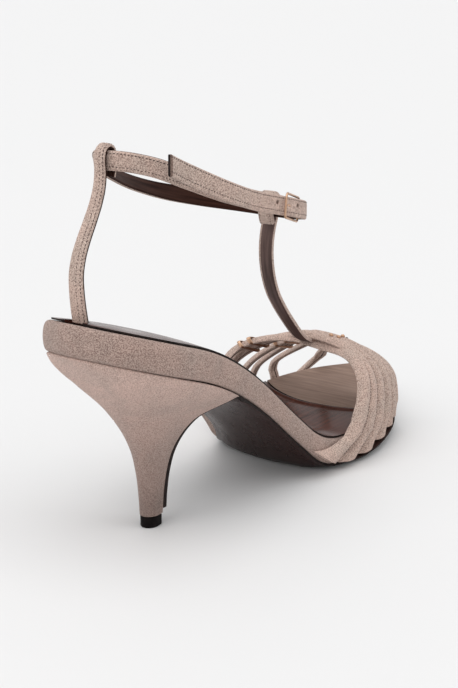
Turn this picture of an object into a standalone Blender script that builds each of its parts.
"""A suede T-strap sandal on a slim flared heel, for the right foot, standing empty on the floor.

Run it with: blender --background --python part.py

The drawing frame is in millimetres: x runs from the back of the heel to the toe, y to the inner
(medial) side of the foot and z up from the floor. to_metres() turns a drawing point into Blender's
metres and puts the origin under the middle of the shoe.
"""

import bpy
import bmesh
import numpy as np
from mathutils import Vector

MM = 0.001
ORIGIN = np.array([109.0, 6.3, 0.0])

# Gaps and thin layers
GAP = 0.3
OUTSOLE_THICK = 2.1
FLAP_THICK = 1.6
SOCK_THICK = 0.6
SOCK_STEP = 1.2
TOE_STRAP_THICK = 2.6
STRAP_THICK = 1.8
BACK_STRAP_THICK = 1.7

# How finely curves are cut: steps between two rows of the sole's outline, and along the straps
LOOP_STEPS = 4
LOOP_FINE_STEPS = 8
ROUTE_FINE_STEPS = 12
TOE_STRAP_STATIONS = 27
T_BAR_STATIONS = 34
BACK_STRAP_STATIONS = 38
ANKLE_STRAP_STATIONS = 74
FOOTBED_COLUMNS = 3
SHARP_ANGLE = 40.0

# Footbed: thickness of the padded rim, which thins where the sole springs up to the toe
RIM_THICK = (
    # x, thickness
    (0.0, 10.7),
    (60.0, 10.7),
    (110.0, 9.9),
    (124.0, 9.9),
    (128.0, 9.1),
    (133.0, 8.65),
    (138.0, 8.6),
    (150.0, 7.6),
    (160.0, 6.8),
    (185.0, 5.6),
    (218.0, 5.2),
)

# Heel: the lift is the small wear piece under the tip
LIFT_HEIGHT = 4.0
LIFT_SCALE = 0.93
HEEL_INSET = 1.0
SEAT_BLEND_START = 0.7
HEEL_ROUND_SHARE = 0.6
HEEL_BREAST_TAPER = 0.08
HEEL_SIDES = 9
BREAST_POINTS = 3
HEEL_SHARES = (*np.linspace(0.0, 0.6, 6), *np.linspace(0.68, 1.0, 7))

# Outsole: its edge, and the flap of sole leather down the heel's breast
SOLE_INSET = 1.4
SOLE_BEND_RUN = 4.0
FLAP_ROOM = 0.0
FLAP_SHARES = (0.93, 0.87, 0.8, 0.72, 0.64, 0.56, 0.47, 0.36, 0.24, 0.12, 0.03)

# Widths of the narrow straps, at their lower and upper ends
BACK_STRAP_WIDE = (6.0, 3.4)
T_BAR_WIDE = (5.7, 6.0)
ANKLE_STRAP_WIDE = (6.4, 6.4)

# The sole's outline in plan: x along the foot, half widths to the medial and lateral sides
OUTLINE = (
    # x, medial, lateral
    (0.0, 0.0, 0.0),
    (3.0, 10.2, 10.4),
    (10.0, 18.5, 18.9),
    (25.0, 24.8, 24.8),
    (45.0, 24.5, 25.0),
    (68.0, 20.4, 23.3),
    (95.0, 20.9, 22.0),
    (120.0, 30.1, 23.7),
    (142.0, 39.8, 25.4),
    (160.0, 43.0, 22.8),
    (180.0, 41.5, 16.0),
    (197.0, 35.6, 5.4),
    (210.0, 25.6, -5.6),
    (218.0, 15.2, -15.2),
)

# The footbed's top from the side, as its fall in mm per mm along the foot
PROFILE = (
    # x, fall
    (0.0, 0.346),
    (38.0, 0.346),
    (92.0, 0.843),
    (110.5, 0.843),
    (132.9, 0.0),
    (167.0, 0.0),
    (218.0, -0.108),
)

# The rim's rounded side, from the bottom up: how far it is drawn in, and its share of the thickness
RIM_LEVELS = (
    # inset, share
    (1.5, 0.0),
    (0.7, 0.05),
    (0.2, 0.22),
    (0.0, 0.48),
    (0.2, 0.74),
    (0.9, 0.92),
    (2.3, 1.0),
)

# How far the padded sock rises in the middle of the foot
SOCK_CROWN = (
    # x, rise
    (0.0, 0.2),
    (20.0, 1.4),
    (50.0, 1.2),
    (85.0, 0.6),
    (115.0, 0.5),
    (140.0, 0.5),
    (218.0, 0.4),
)

# The sock's and toe panel's ends, their room inside the rim's edge, and their rows and columns
SOCK_HEEL_END = 4.2
PANEL_TOE_END = 215.2
SOCK_ROOM = 0.4
SOCK_FIRST_TURN = 0.08
SOCK_ROWS = 22
PANEL_ROWS = 10
SOCK_COLUMNS = 8

# Where the glossy sock ends at the ball, across the foot from lateral to medial
SOCK_FRONT = (
    # share across, x
    (-1.0, 166.0),
    (-0.4, 158.0),
    (0.2, 157.5),
    (0.6, 163.0),
    (1.0, 172.0),
)

# Corners of the notch in the sock's heel end, where the back strap stands
NOTCH = ((0.0, -3.2, 70.0), (9.3, 4.2, 90.0))

# The heel between the lift (share 0) and the seat (share 1)
HEEL = (
    # share, back x, breast x, half width
    (0.0, 37.5, 44.4, 3.5),
    (0.15, 36.9, 44.7, 3.8),
    (0.3, 35.8, 45.4, 4.5),
    (0.45, 33.6, 46.8, 5.9),
    (0.6, 28.8, 49.3, 8.8),
    (0.72, 22.3, 52.2, 12.3),
    (0.84, 13.6, 55.8, 16.9),
    (0.93, 6.4, 59.0, 20.6),
    (1.0, 1.1, 62.0, 23.6),
)

# The foot shape that the toe straps lie on: height of its ridge, and how full its sides are
FOOT_RIDGE = (
    # x, height
    (100.0, 53.0),
    (115.0, 48.5),
    (130.0, 45.0),
    (145.0, 42.4),
    (160.0, 38.6),
    (175.0, 32.4),
    (190.0, 26.8),
    (205.0, 21.5),
    (218.0, 16.0),
)
MEDIAL_FULLNESS = (
    # x, exponent
    (140.0, 2.2),
    (150.0, 1.5),
    (165.0, 1.3),
)
LATERAL_FULLNESS = 2.6
RIDGE_LATERAL = 3.0
STRAP_ROOM = 0.3
FOOT_BULGE = 1.4
FOOT_RUN = 32.0
WAIST_HEIGHT = 4.0

# The toe straps. A strap's place across the foot is q: 0 on the ridge, -1 and 1 at the widest
# level of the foot, and beyond that it runs down the rim to the sole.
STRAP_END_Q = 1.85
STRAP_END_HEIGHT = 1.2
STRAP_KNOTS = (-STRAP_END_Q, -0.55, 0.0, 0.55, STRAP_END_Q)
STRAP_WIDTHS = (8.2, 6.0, 4.6, 4.6)
TOE_STRAPS = (
    # x at the lateral base, lateral shoulder, ridge, medial shoulder and medial base, lift, base width
    (116.0, 144.8, 151.0, 141.8, 133.0, 0.0, 15.0),
    (130.0, 149.0, 150.8, 147.0, 139.2, 0.7, 12.0),
    (142.5, 156.2, 156.5, 159.0, 161.8, 0.2, 12.0),
    (157.0, 163.0, 158.5, 166.8, 168.4, 1.0, 12.0),
    (169.5, 170.0, 165.0, 177.0, 183.5, 0.2, 11.0),
    (179.0, 176.5, 176.0, 199.0, 193.0, 0.5, 9.0),
)
LIFT_REACH = 0.5
ROLL_DEEP = 3.0
ROLL_MIDDLE = -0.1
ROLL_REACH = 0.25
BEND_REACH = 0.25
BEND_SPREAD = 0.3
STRAP_SECTION = (
    # across, share of thickness
    (-0.8, 0.0),
    (0.8, 0.0),
    (1.0, 0.35),
    (0.86, 0.78),
    (0.42, 1.0),
    (-0.42, 1.0),
    (-0.86, 0.78),
    (-1.0, 0.35),
)

# Half of a narrow strap's section, with its soft edge
RIBBON_SECTION = (
    # share of width, share of thickness
    (0.5, 0.24),
    (0.42, 0.5),
    (-0.42, 0.5),
    (-0.5, 0.24),
)

# Routes of the narrow straps, through points along their middle
BACK_STRAP_Y = 0.5
BACK_STRAP_ROUTE = (
    # x, z
    (7.7, 79.8),
    (6.8, 85.0),
    (6.2, 90.5),
    (6.2, 95.5),
    (7.5, 100.7),
    (9.9, 105.7),
    (13.0, 110.9),
    (16.0, 116.3),
    (17.9, 121.3),
    (18.5, 126.0),
    (18.4, 130.0),
    (19.3, 132.9),
    (21.2, 133.9),
    (23.2, 132.9),
    (24.1, 130.0),
    (24.0, 126.6),
    (23.4, 123.8),
)
T_BAR_ROUTE = (
    # x, y, z
    (153.0, 5.2, 40.4),
    (148.5, 5.2, 41.5),
    (144.2, 5.0, 43.6),
    (139.6, 4.6, 47.0),
    (134.0, 4.1, 52.1),
    (126.2, 3.5, 60.0),
    (120.6, 3.0, 66.8),
    (115.9, 2.4, 76.4),
    (114.0, 1.8, 85.3),
    (114.2, 1.2, 92.5),
    (115.0, 0.7, 97.0),
    (115.2, 0.1, 101.6),
    (114.4, -0.3, 105.0),
    (112.4, -0.5, 106.1),
    (110.2, -0.6, 105.0),
    (109.3, -0.7, 101.6),
    (109.4, -0.7, 98.2),
    (110.4, -0.7, 95.4),
)
ANKLE_STRAP_ROUTE = (
    # x, y, z: from the buckle back along the lateral side, round the heel and the instep
    (84.4, -27.2, 108.2),
    (76.0, -27.2, 110.5),
    (65.0, -26.6, 113.3),
    (50.0, -24.8, 117.8),
    (37.0, -19.8, 123.2),
    (28.0, -12.0, 127.6),
    (22.7, -4.8, 129.2),
    (21.2, 0.0, 129.3),
    (22.7, 4.6, 128.8),
    (30.0, 11.5, 126.2),
    (43.0, 18.0, 121.1),
    (60.0, 22.6, 114.8),
    (80.0, 23.4, 108.6),
    (97.0, 18.6, 104.5),
    (108.0, 9.5, 102.0),
    (112.4, 1.0, 100.9),
    (111.2, -8.5, 101.1),
    (106.7, -15.8, 102.3),
    (101.0, -22.0, 103.9),
    (94.3, -26.8, 105.5),
    # and through the buckle, as the free tail, whose tip stands away
    (88.0, -30.2, 107.1),
    (80.0, -30.9, 109.2),
    (70.0, -30.5, 111.6),
    (60.0, -30.0, 114.2),
    (49.0, -29.1, 118.0),
    (38.0, -25.9, 122.9),
    (29.5, -23.3, 127.0),
    (23.2, -23.5, 129.7),
)
ANKLE_LEAN = (
    # share of the strap's length, lean of its upper edge to the ankle in degrees
    (0.0, 0.0),
    (0.1, 0.0),
    (0.2, -12.0),
    (0.25, -5.0),
    (0.28, -4.0),
    (0.33, -28.0),
    (0.40, -36.0),
    (0.48, -34.0),
    (0.55, -16.0),
    (0.60, 0.0),
    (0.66, 0.0),
    (1.0, 0.0),
)

# The buckle: a wire frame round the strap, and its prong
BUCKLE_FRONT = np.array([89.8, -27.2, 106.4])
BUCKLE_REAR = np.array([73.5, -32.8, 111.1])
BUCKLE_TALL = 8.1
BUCKLE_CORNER = 1.4
BUCKLE_WIRE = 0.4
PRONG_WIRE = 0.35
PRONG_LONG = 3.0
PRONG_DIP = 0.2

# Gold rings round pairs of toe straps
RINGS = (
    # first strap of the pair, place across the foot
    (0, 0.41),
    (0, 0.49),
    (2, 0.30),
    (2, 0.39),
)
RING_LONG = 1.0
RING_WALL = 0.4
RING_ROOM = 0.45
RING_SQUARE = 0.4
RING_POINTS = 16

# Gold studs on the toe straps beside the ridge
STUDS = (
    # strap, place across the foot
    (1, -0.13),
    (2, -0.15),
    (3, -0.16),
    (4, -0.15),
)
STUD_RADIUS = 0.9
STUD_FLAT = 0.55


# Curves


def smooth(at, knots, values):
    """A smooth curve through values at the knots, read at the places given."""
    at = np.asarray(at, float)
    knots = np.asarray(knots, float)
    values = np.asarray(values, float)
    slopes = np.gradient(values, knots, axis=0)
    i = np.clip(np.searchsorted(knots, at, side="right") - 1, 0, len(knots) - 2)
    step = knots[i + 1] - knots[i]
    t = np.clip((at - knots[i]) / step, 0.0, 1.0)
    if values.ndim > 1:
        step = step[:, None]
        t = t[:, None]
    ease = t * t * (3 - 2 * t)
    leave = t * (1 - t) ** 2 * step
    arrive = t * t * (t - 1) * step
    return values[i] * (1 - ease) + values[i + 1] * ease + leave * slopes[i] + arrive * slopes[i + 1]


def column(table, at, index=1):
    """One column of a table read smoothly at x, with x in the first column."""
    rows = np.array(table)
    return smooth(np.clip(at, rows[0, 0], rows[-1, 0]), rows[:, 0], rows[:, index])


def route(points, stations):
    """Evenly spaced points along a smooth curve through the points."""
    points = np.asarray(points, float)
    run = np.concatenate([[0.0], np.cumsum(np.linalg.norm(np.diff(points, axis=0), axis=1))])
    fine = smooth(np.linspace(0, run[-1], ROUTE_FINE_STEPS * len(points)), run, points)
    length = np.concatenate([[0.0], np.cumsum(np.linalg.norm(np.diff(fine, axis=0), axis=1))])
    even = np.linspace(0, length[-1], stations)
    return np.stack([np.interp(even, length, fine[:, k]) for k in range(points.shape[1])], axis=1)


def unit(vectors):
    return vectors / np.linalg.norm(vectors, axis=-1, keepdims=True)


# The sole's outline and side profile


def sole_loop(per_row, inset=0.0):
    """The outline as a closed loop: heel back, lateral side, toe tip, then the medial side back."""
    rows = np.array(OUTLINE)
    lateral = np.stack([rows[:, 0], -rows[:, 2]], axis=1)
    medial = np.stack([rows[:, 0], rows[:, 1]], axis=1)
    loop = np.concatenate([lateral, medial[-2:0:-1]])
    around = np.concatenate([loop[-2:], loop, loop[:3]])
    knots = np.arange(-2, len(loop) + 3)
    points = smooth(np.arange(len(loop) * per_row) / per_row, knots, around)
    along = unit(np.roll(points, -1, axis=0) - np.roll(points, 1, axis=0))
    inward = np.stack([-along[:, 1], along[:, 0]], axis=1)
    return points + inset * inward


def half_widths(x, inset=0.0):
    """The y of the lateral and of the medial edge at x, drawn in by the inset."""
    loop = sole_loop(LOOP_FINE_STEPS, inset)
    half = len(loop) // 2
    lateral = loop[: half + 1]
    medial = np.concatenate([loop[half:], loop[:1]])[::-1]
    return np.interp(x, lateral[:, 0], lateral[:, 1]), np.interp(x, medial[:, 0], medial[:, 1])


PROFILE_STEP = 0.25
PROFILE_X = np.arange(PROFILE[0][0], PROFILE[-1][0] + PROFILE_STEP, PROFILE_STEP)
PROFILE_FALL = np.interp(PROFILE_X[:-1] + PROFILE_STEP / 2, *np.array(PROFILE).T)
PROFILE_DROP = np.append(0.0, np.cumsum(PROFILE_FALL) * PROFILE_STEP)


def rim_thickness(x):
    return column(RIM_THICK, x)


# The lowest part of the footbed lies on the outsole's tread, pressed flat by a little
TREAD_TOP = OUTSOLE_THICK + GAP
TREAD_PRESS = 0.12
HEEL_TOP = TREAD_TOP - TREAD_PRESS + np.max(PROFILE_DROP + rim_thickness(PROFILE_X))


def footbed_top(x):
    """Height of the rim's top edge."""
    return HEEL_TOP - np.interp(x, PROFILE_X, PROFILE_DROP)


def footbed_bottom(x):
    return np.maximum(footbed_top(x) - rim_thickness(x), TREAD_TOP)


# The foot shape under the toe straps


def foot_point(x, q, proud=0.0):
    """A point on the foot shape at x and q, raised off it by proud."""
    lateral, medial = half_widths(x)
    ridge_y = (lateral + medial) / 2 - RIDGE_LATERAL
    waist = footbed_top(x) + WAIST_HEIGHT
    tall = column(FOOT_RIDGE, x) + proud - waist
    beyond = np.clip((np.abs(q) - 1) / (STRAP_END_Q - 1), 0, 1)
    bulge = STRAP_ROOM + FOOT_BULGE * (1 - beyond) ** 2 + proud
    wide = np.where(q < 0, ridge_y - lateral, medial - ridge_y) + bulge
    medial_power = np.interp(x, *np.array(MEDIAL_FULLNESS).T)
    power = 2 / np.where(q < 0, LATERAL_FULLNESS, medial_power)
    turn = np.pi / 2 * (1 - np.clip(np.abs(q), 0, 1))
    y = ridge_y + np.sign(q) * wide * np.cos(turn) ** power
    drop = WAIST_HEIGHT + rim_thickness(x) - STRAP_END_HEIGHT
    z = waist + tall * np.sin(turn) ** power - beyond * drop
    return np.stack([x, y, z], axis=-1)


def strap_point(x, q, proud):
    """A point on the foot shape, with the bend above the rim rounded off as a strap rounds it."""
    reach = BEND_REACH * np.exp(-(((abs(q) - 1) / BEND_SPREAD) ** 2))
    before = foot_point(x, q - reach, proud)
    after = foot_point(x, q + reach, proud)
    return (before + 2 * foot_point(x, q, proud) + after) / 4


def strap_middle(strap, q):
    """The x of a toe strap's middle, and half its width along the foot, at q."""
    x = smooth(q, STRAP_KNOTS, strap[:5])
    half = smooth(q, STRAP_KNOTS, (strap[6], *STRAP_WIDTHS)) / 2
    return x, half


def strap_lift(strap, q):
    """How far a strap stands off the foot where it crosses its neighbours near the ridge."""
    return strap[5] * np.exp(-((q / LIFT_REACH) ** 2))


def edge_roll(number, across, q):
    """How far the first strap's rear edge rolls down to the instep near the ridge."""
    if number > 0:
        return 0.0
    return ROLL_DEEP * np.exp(-(((q - ROLL_MIDDLE) / ROLL_REACH) ** 2)) * (1 - across) / 2


# Meshes


def to_metres(points):
    return (np.asarray(points, float) - ORIGIN) * MM


def new_object(name, bm, material, collection):
    bmesh.ops.recalc_face_normals(bm, faces=bm.faces)
    mesh = bpy.data.meshes.new(name)
    bm.to_mesh(mesh)
    bm.free()
    mesh.shade_smooth()
    mesh.set_sharp_from_angle(angle=np.radians(SHARP_ANGLE))
    mesh.materials.append(material)
    piece = bpy.data.objects.new(name, mesh)
    collection.objects.link(piece)
    return piece


def loft(name, rings, material, collection, closed=False):
    """A skin over rings of equally many points, capped at both ends unless it closes on itself."""
    bm = bmesh.new()
    rows = [[bm.verts.new(p) for p in to_metres(ring)] for ring in rings]
    if closed:
        rows.append(rows[0])
    for a, b in zip(rows, rows[1:]):
        for k in range(len(a)):
            j = (k + 1) % len(a)
            bm.faces.new((a[k], a[j], b[j], b[k]))
    for row in () if closed else (rows[0], rows[-1]):
        for k in range(len(row) // 2 - 1):
            bm.faces.new((row[k], row[k + 1], row[-2 - k], row[-1 - k]))
    return new_object(name, bm, material, collection)


def slab(name, levels, columns, material, collection):
    """A sole layer from its outline loops, bottom to top, with columns of faces across both ends."""
    bm = bmesh.new()
    rows = [[bm.verts.new(p) for p in to_metres(loop)] for loop in levels]
    count = len(levels[0])
    half = count // 2
    for a, b in zip(rows, rows[1:]):
        for k in range(count):
            j = (k + 1) % count
            bm.faces.new((a[k], a[j], b[j], b[k]))
    share = np.linspace(0, 1, columns + 1)[1:-1, None]
    for level, row in ((levels[0], rows[0]), (levels[-1], rows[-1])):
        lines = []
        for i in range(1, half):
            inner = level[i] * (1 - share) + level[count - i] * share
            middle = [bm.verts.new(p) for p in to_metres(inner)]
            lines.append([row[i], *middle, row[count - i]])
        for a, b in zip(lines, lines[1:]):
            for k in range(columns):
                bm.faces.new((a[k], a[k + 1], b[k + 1], b[k]))
        for tip, line in ((row[0], lines[0]), (row[half], lines[-1])):
            for k in range(columns):
                bm.faces.new((tip, line[k], line[k + 1]))
    return new_object(name, bm, material, collection)


def ribbon(name, middle, across, wide, thick, material, collection):
    """A flat strap with soft edges along a middle line, its width lying along the across directions.

    wide gives the width at the first and at the last point of the line.
    """
    along = unit(np.gradient(middle, axis=0))
    out = unit(np.cross(across, along))
    side = across / np.linalg.norm(np.cross(across, along), axis=1, keepdims=True)
    half = np.array(RIBBON_SECTION)
    section = np.concatenate([half, -half])
    widths = np.linspace(*wide, len(middle))
    rings = []
    for place, width, s, o in zip(middle, widths, side, out):
        rings.append(place + section[:, :1] * width * s + section[:, 1:] * thick * o)
    return loft(name, rings, material, collection)


def join(piece, others):
    """Boolean unions that make the piece and the others one body."""
    for other in others:
        other.hide_render = True
        other.display_type = "WIRE"
        union = piece.modifiers.new("join " + other.name, "BOOLEAN")
        union.operation = "UNION"
        union.solver = "EXACT"
        union.object = other


def make_material(name, colour, roughness, metallic=0.0):
    material = bpy.data.materials.new(name)
    material.use_nodes = True
    shader = material.node_tree.nodes["Principled BSDF"]
    shader.inputs["Base Color"].default_value = (*colour, 1.0)
    shader.inputs["Roughness"].default_value = roughness
    shader.inputs["Metallic"].default_value = metallic
    return material


# Sole


def make_footbed(collection, suede):
    levels = []
    for inset, share in RIM_LEVELS:
        drawn = sole_loop(LOOP_STEPS, inset)
        bottom = footbed_bottom(drawn[:, 0])
        z = bottom + share * (footbed_top(drawn[:, 0]) - bottom)
        levels.append(np.column_stack([drawn, z]))
    return slab("footbed", levels, FOOTBED_COLUMNS, suede, collection)


def make_sock(collection, leather, name, inside):
    """One of the two insole pieces: heel to ball, or the toe panel in front of it."""
    across = np.linspace(-1, 1, SOCK_COLUMNS + 1)
    front = column(SOCK_FRONT, across)
    if inside:
        start = np.full_like(across, SOCK_HEEL_END)
        end = front - SOCK_STEP / 2
        shares = (1 - np.cos(np.linspace(SOCK_FIRST_TURN, np.pi, SOCK_ROWS))) / 2
    else:
        start = front + SOCK_STEP / 2
        end = np.full_like(across, PANEL_TOE_END)
        shares = np.sin(np.linspace(0, np.pi / 2, PANEL_ROWS))
    lower = []
    upper = []
    for share in shares:
        x = start + share * (end - start)
        lateral, medial = half_widths(x, RIM_LEVELS[-1][0] + SOCK_ROOM)
        y = (lateral + medial) / 2 + across * (medial - lateral) / 2
        z = footbed_top(x) + GAP
        rise = column(SOCK_CROWN, x) * (1 - across**2)
        lower.append(np.column_stack([x, y, z]))
        upper.append(np.column_stack([x, y, z + SOCK_THICK + rise]))
    rings = [np.concatenate([a, b[::-1]]) for a, b in zip(lower, upper)]
    return loft(name, rings, leather, collection)


def cut_strap_notch(sock, helpers):
    """The back strap stands in a notch at the sock's heel end."""
    bm = bmesh.new()
    bmesh.ops.create_cube(bm, size=1.0)
    low, high = to_metres(NOTCH)
    for vert in bm.verts:
        vert.co = Vector((low + high) / 2) + vert.co * Vector(high - low)
    cutter = new_object("strap_notch", bm, sock.data.materials[0], helpers)
    cutter.hide_render = True
    cutter.display_type = "WIRE"
    cut = sock.modifiers.new("strap notch", "BOOLEAN")
    cut.operation = "DIFFERENCE"
    cut.solver = "EXACT"
    cut.object = cutter


def heel_share_height(x, share):
    """Heel sections pass from level at the lift to the slope of the seat."""
    base = LIFT_HEIGHT + GAP
    return base + share * (footbed_bottom(x) - GAP - base)


def heel_ring(share):
    """One section of the heel: a flat breast, full sides and a round back."""
    back, breast, half_wide = (float(column(HEEL, share, k)) for k in (1, 2, 3))
    place = 1 - np.cos(np.linspace(0, np.pi / 2, HEEL_SIDES + 1))
    x = back + place * (breast - back)
    round_end = np.sqrt(1 - (1 - np.clip(place / HEEL_ROUND_SHARE, 0, 1)) ** 2)
    round_end *= 1 - HEEL_BREAST_TAPER * place**4
    lateral, medial = half_widths(x, HEEL_INSET)
    blend = np.clip((share - SEAT_BLEND_START) / (1 - SEAT_BLEND_START), 0, 1) ** 2
    lateral_y = -half_wide * round_end * (1 - blend) + lateral * blend
    medial_y = half_wide * round_end * (1 - blend) + medial * blend
    lateral_y[0] = medial_y[0] = 0.0
    breast_y = np.linspace(medial_y[-1], lateral_y[-1], BREAST_POINTS + 2)[1:-1]
    ring_x = np.concatenate([x[::-1], x[1:], np.full(BREAST_POINTS, breast)])
    ring_y = np.concatenate([lateral_y[::-1], medial_y[1:], breast_y])
    return np.column_stack([ring_x, ring_y, heel_share_height(ring_x, share)])


def make_heel(collection, suede):
    return loft("heel", [heel_ring(share) for share in HEEL_SHARES], suede, collection)


def make_lift(collection, rubber):
    ring = heel_ring(0.0)
    centre = ring.mean(axis=0)
    rings = []
    for height in (0.0, LIFT_HEIGHT):
        narrower = centre + (ring - centre) * LIFT_SCALE
        narrower[:, 2] = height
        rings.append(narrower)
    return loft("top_lift", rings, rubber, collection)


def sole_section(rear, fore, lateral, medial):
    """Four corners across the sole leather, from the (x, z) of its inner and of its outer face."""
    corners = ((rear, lateral), (fore, lateral), (fore, medial), (rear, medial))
    return [(x, y, z) for (x, z), y in corners]


def make_outsole(collection, leather):
    """The thin leather sole from the toe to the heel, and down the heel's breast as a flap."""
    drawn = sole_loop(LOOP_STEPS, SOLE_INSET)
    half = len(drawn) // 2
    corner = float(column(HEEL, 1.0, 2)) + GAP
    rings = []
    for i in range(half - 1, 0, -1):
        lateral = drawn[i]
        medial = drawn[len(drawn) - i]
        if lateral[0] < corner + SOLE_BEND_RUN:
            break
        lateral_top, medial_top = (float(footbed_bottom(x)) - GAP for x in (lateral[0], medial[0]))
        rings.append([
            (*lateral, lateral_top),
            (*lateral, lateral_top - OUTSOLE_THICK),
            (*medial, medial_top - OUTSOLE_THICK),
            (*medial, medial_top),
        ])
    lateral, medial = (float(y) for y in half_widths(corner, SOLE_INSET))
    inner = (corner, float(footbed_bottom(corner)) - GAP)
    outer_x = corner + FLAP_THICK
    outer = (outer_x, float(footbed_bottom(outer_x)) - GAP - OUTSOLE_THICK)
    rings.append(sole_section(inner, outer, lateral, medial))
    for share in FLAP_SHARES:
        ring = heel_ring(share)
        lateral = ring[0, 1] + FLAP_ROOM
        medial = ring[2 * HEEL_SIDES, 1] - FLAP_ROOM
        breast = float(column(HEEL, share, 2)) + GAP
        z = float(heel_share_height(breast, share))
        rings.append(sole_section((breast, z), (breast + FLAP_THICK, z), lateral, medial))
    return loft("outsole", rings, leather, collection)


# Upper


def make_toe_strap(number, collection, suede):
    strap = TOE_STRAPS[number]
    rings = []
    for q in np.linspace(-STRAP_END_Q, STRAP_END_Q, TOE_STRAP_STATIONS):
        x, half = strap_middle(strap, q)
        lift = strap_lift(strap, q)
        ring = []
        for across, depth in STRAP_SECTION:
            proud = lift + depth * TOE_STRAP_THICK - edge_roll(number, across, q)
            ring.append(strap_point(x + across * half, q, proud))
        rings.append(np.array(ring))
    return loft(f"toe_strap_{number + 1}", rings, suede, collection)


def make_t_bar(collection, suede):
    middle = route(T_BAR_ROUTE, T_BAR_STATIONS)
    across = np.tile([0.0, 1.0, 0.0], (len(middle), 1))
    return ribbon("t_bar", middle, across, T_BAR_WIDE, STRAP_THICK, suede, collection)


def make_upper(collection, helpers, suede):
    """The toe straps and the T-bar, one body where they cross."""
    first = make_toe_strap(0, collection, suede)
    first.name = "upper"
    others = [make_toe_strap(number, helpers, suede) for number in range(1, len(TOE_STRAPS))]
    others.append(make_t_bar(helpers, suede))
    join(first, others)
    return first


def make_back_strap(collection, suede):
    points = [(x, BACK_STRAP_Y, z) for x, z in BACK_STRAP_ROUTE]
    middle = route(points, BACK_STRAP_STATIONS)
    across = np.tile([0.0, 1.0, 0.0], (len(middle), 1))
    return ribbon("back_strap", middle, across, BACK_STRAP_WIDE, BACK_STRAP_THICK, suede, collection)


def make_ankle_strap(collection, suede):
    middle = route(ANKLE_STRAP_ROUTE, ANKLE_STRAP_STATIONS)
    upright = np.tile([0.0, 0.0, 1.0], (len(middle), 1))
    out = unit(np.cross(upright, np.gradient(middle, axis=0)))
    lean = np.radians(column(ANKLE_LEAN, np.linspace(0, 1, len(middle))))[:, None]
    across = upright * np.cos(lean) - out * np.sin(lean)
    return ribbon("ankle_strap", middle, across, ANKLE_STRAP_WIDE, STRAP_THICK, suede, collection)


# Metal


def wire(name, points, radius, material, collection, cyclic):
    """A round wire bent along the points."""
    data = bpy.data.curves.new(name, "CURVE")
    data.dimensions = "3D"
    data.bevel_depth = radius * MM
    data.bevel_resolution = 2
    data.use_fill_caps = True
    spline = data.splines.new("POLY")
    spline.points.add(len(points) - 1)
    for point, place in zip(spline.points, to_metres(points)):
        point.co = (*place, 1.0)
    spline.use_cyclic_u = cyclic
    data.materials.append(material)
    piece = bpy.data.objects.new(name, data)
    collection.objects.link(piece)
    return piece


def make_buckle(collection, gold):
    """The frame leans so that the tail runs over its front bar and under its rear bar."""
    along = unit(BUCKLE_REAR - BUCKLE_FRONT)
    up = unit(np.array([0.0, 0.0, 1.0]) - along[2] * along)
    out = np.cross(up, along)
    middle = (BUCKLE_FRONT + BUCKLE_REAR) / 2
    half_long = np.linalg.norm(BUCKLE_REAR - BUCKLE_FRONT) / 2
    points = []
    for side_a, side_b in ((1, 1), (-1, 1), (-1, -1), (1, -1)):
        for turn in (0.0, 30.0, 60.0, 90.0):
            bend = np.radians(turn if side_a * side_b > 0 else 90.0 - turn)
            a = side_a * (half_long - BUCKLE_CORNER + BUCKLE_CORNER * np.cos(bend))
            b = side_b * (BUCKLE_TALL / 2 - BUCKLE_CORNER + BUCKLE_CORNER * np.sin(bend))
            points.append(middle + a * along + b * up)
    wire("buckle_frame", points, BUCKLE_WIRE, gold, collection, True)
    tip = BUCKLE_REAR + (BUCKLE_WIRE + PRONG_WIRE + GAP) * out + PRONG_WIRE * along
    root = tip - PRONG_LONG * along - PRONG_DIP * out
    wire("buckle_prong", [root, (root + tip) / 2, tip], PRONG_WIRE, gold, collection, False)


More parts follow.
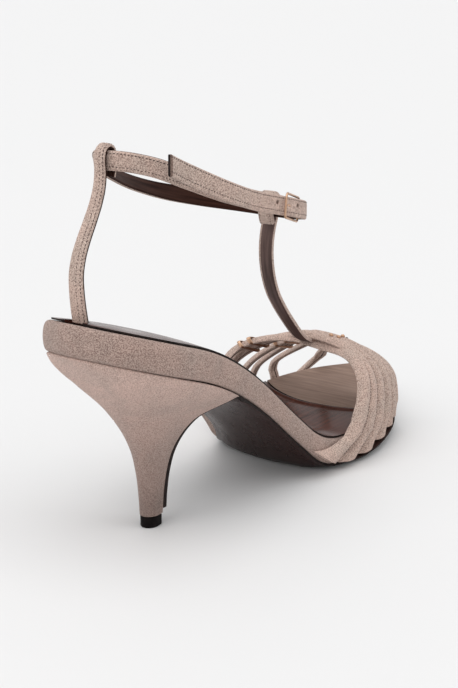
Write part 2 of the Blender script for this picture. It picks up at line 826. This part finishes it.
def make_ring(number, collection, gold):
    """A thin gold ring round two neighbouring toe straps."""
    pair, place = RINGS[number]
    turn = np.linspace(0, 2 * np.pi, RING_POINTS, endpoint=False)
    around = np.sign(np.cos(turn)) * np.abs(np.cos(turn)) ** RING_SQUARE
    above = np.sign(np.sin(turn)) * np.abs(np.sin(turn)) ** RING_SQUARE
    rings = []
    for wall, end in ((0.0, 1), (0.0, -1), (RING_WALL, -1), (RING_WALL, 1)):
        q = place + end * RING_LONG / 2 / FOOT_RUN
        rear, rear_half = strap_middle(TOE_STRAPS[pair], q)
        fore, fore_half = strap_middle(TOE_STRAPS[pair + 1], q)
        lowest = strap_lift(TOE_STRAPS[pair], q)
        highest = strap_lift(TOE_STRAPS[pair + 1], q) + TOE_STRAP_THICK
        half = (fore + fore_half - rear + rear_half) / 2 + RING_ROOM + wall
        deep = (highest - lowest) / 2 + RING_ROOM + wall
        x = (fore + fore_half + rear - rear_half) / 2 + half * around
        proud = (highest + lowest) / 2 + deep * above
        rings.append(np.array([foot_point(a, q, b) for a, b in zip(x, proud)]))
    return loft(f"gold_ring_{number + 1}", rings, gold, collection, closed=True)


def make_stud(number, collection, gold):
    """A small gold dome on the middle of a toe strap."""
    strap, q = STUDS[number]
    x, _ = strap_middle(TOE_STRAPS[strap], q)
    lift = strap_lift(TOE_STRAPS[strap], q)
    place = foot_point(x, q, lift + TOE_STRAP_THICK + GAP + STUD_RADIUS * STUD_FLAT)
    bm = bmesh.new()
    bmesh.ops.create_uvsphere(bm, u_segments=10, v_segments=6, radius=STUD_RADIUS * MM)
    for vert in bm.verts:
        vert.co.z *= STUD_FLAT
        vert.co += Vector(to_metres(place))
    return new_object(f"gold_stud_{number + 1}", bm, gold, collection)


def main():
    for old in list(bpy.data.objects):
        bpy.data.objects.remove(old)
    parts = bpy.data.collections.new("t_strap_sandal")
    helpers = bpy.data.collections.new("joined_straps")
    for collection in (parts, helpers):
        bpy.context.scene.collection.children.link(collection)
    suede = make_material("taupe_suede", (0.42, 0.31, 0.26), 0.9)
    sole_leather = make_material("dark_sole_leather", (0.035, 0.024, 0.022), 0.35)
    sock_leather = make_material("brown_sock_leather", (0.11, 0.06, 0.05), 0.3)
    panel_leather = make_material("taupe_toe_panel", (0.23, 0.165, 0.135), 0.75)
    rubber = make_material("black_lift_rubber", (0.01, 0.01, 0.011), 0.45)
    gold = make_material("pale_gold", (0.78, 0.55, 0.34), 0.25, 1.0)
    make_footbed(parts, suede)
    sock = make_sock(parts, sock_leather, "sock_lining", True)
    cut_strap_notch(sock, helpers)
    make_sock(parts, panel_leather, "toe_panel", False)
    make_heel(parts, suede)
    make_lift(parts, rubber)
    make_outsole(parts, sole_leather)
    make_upper(parts, helpers, suede)
    make_back_strap(parts, suede)
    make_ankle_strap(parts, suede)
    make_buckle(parts, gold)
    for number in range(len(RINGS)):
        make_ring(number, parts, gold)
    for number in range(len(STUDS)):
        make_stud(number, parts, gold)


main()
